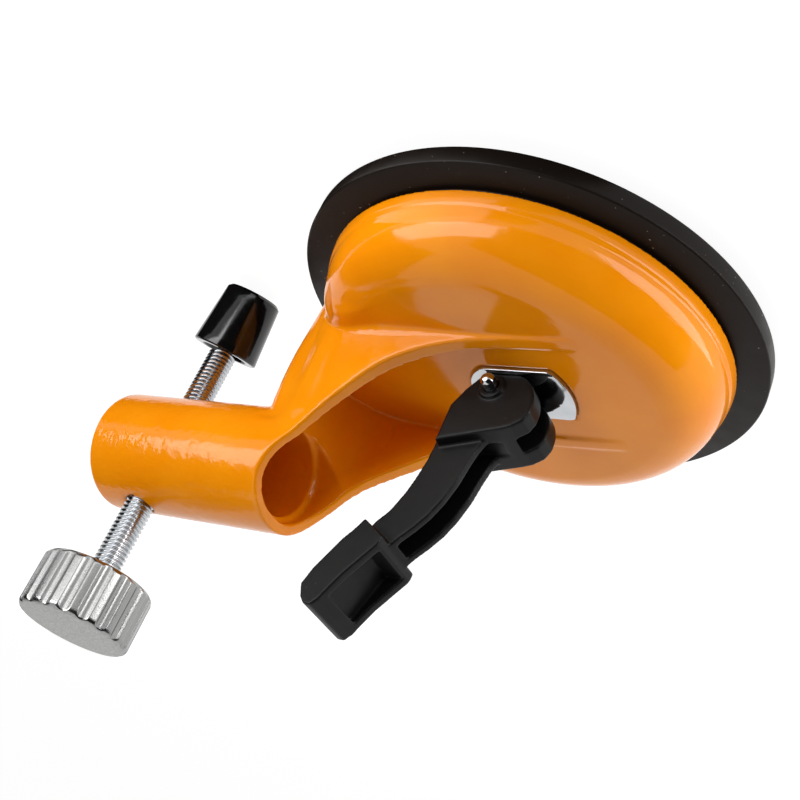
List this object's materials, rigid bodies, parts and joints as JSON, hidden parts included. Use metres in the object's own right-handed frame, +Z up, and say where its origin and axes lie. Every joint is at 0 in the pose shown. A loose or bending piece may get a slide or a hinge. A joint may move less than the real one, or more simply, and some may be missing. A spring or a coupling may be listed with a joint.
{
  "type": "floor tile suction lifter",
  "caption": "Suction pad with a cam lever, a cast housing with an offset arm, and a levelling screw that presses on the neighbouring tile.",
  "frame": {"origin": "centre of the suction pad's underside", "axes": "+Z up from the tile through the pad, -X towards the levelling screw, the part symmetric about the plane Y = 0"},
  "size_m": [0.1684, 0.12, 0.1107],
  "materials": {
    "housing": "gloss orange paint on cast aluminium",
    "rubber_pad": "satin black rubber",
    "pad_insert_plate": "plain steel",
    "wear_plate": "bright zinc plate",
    "pull_stem": "zinc plate",
    "lever_pin": "bright steel",
    "cam_lever": "satin black moulded plastic",
    "screw_rod": "zinc plated thread",
    "screw_ball": "zinc plate",
    "knob": "as cast, faced on top",
    "screw_foot": "gloss black moulded plastic"
  },
  "bodies": {
    "housing": {"housing": "housing", "rubber_pad": "rubber_pad", "wear_plate": "wear_plate"},
    "stem": {"pull_stem": "pull_stem", "pad_insert_plate": "pad_insert_plate"},
    "lever": {"cam_lever": "cam_lever", "lever_pin": "lever_pin"},
    "ball": {"screw_ball": "screw_ball"},
    "screw": {"screw_rod": "screw_rod", "knob": "knob"},
    "foot": {"screw_foot": "screw_foot"}
  },
  "joints": [
    {"name": "stem_lift", "type": "slide", "parent": "housing", "child": "stem", "axis": [0, 0, 1], "range_m": [0, 0.00813], "deforming": ["rubber_pad"]},
    {"name": "lever_turn", "type": "hinge", "parent": "stem", "child": "lever", "pos_m": [0.0025, 0, 0.0283], "axis": [0, 1, 0], "range_deg": [0, 95]},
    {"name": "screw_travel", "type": "slide", "parent": "housing", "child": "ball", "axis": [0, 0, 1], "range_m": [-0.0201, 0.0101]},
    {"name": "screw_turn", "type": "hinge", "parent": "ball", "child": "screw", "pos_m": [-0.0932, 0, 0.0115], "axis": [0, 0, 1], "range_deg": [-5760, 2880]},
    {"name": "foot_swivel", "type": "hinge", "parent": "ball", "child": "foot", "pos_m": [-0.0932, 0, 0.0115], "axis": [-0.7071, 0.7071, 0], "range_deg": [-2, 44]}
  ],
  "couplings": [
    {"joint": "stem_lift", "follows": "lever_turn", "m_per_rad": 0.0049},
    {"joint": "screw_travel", "follows": "screw_turn", "m_per_rad": 0.00019894}
  ]
}
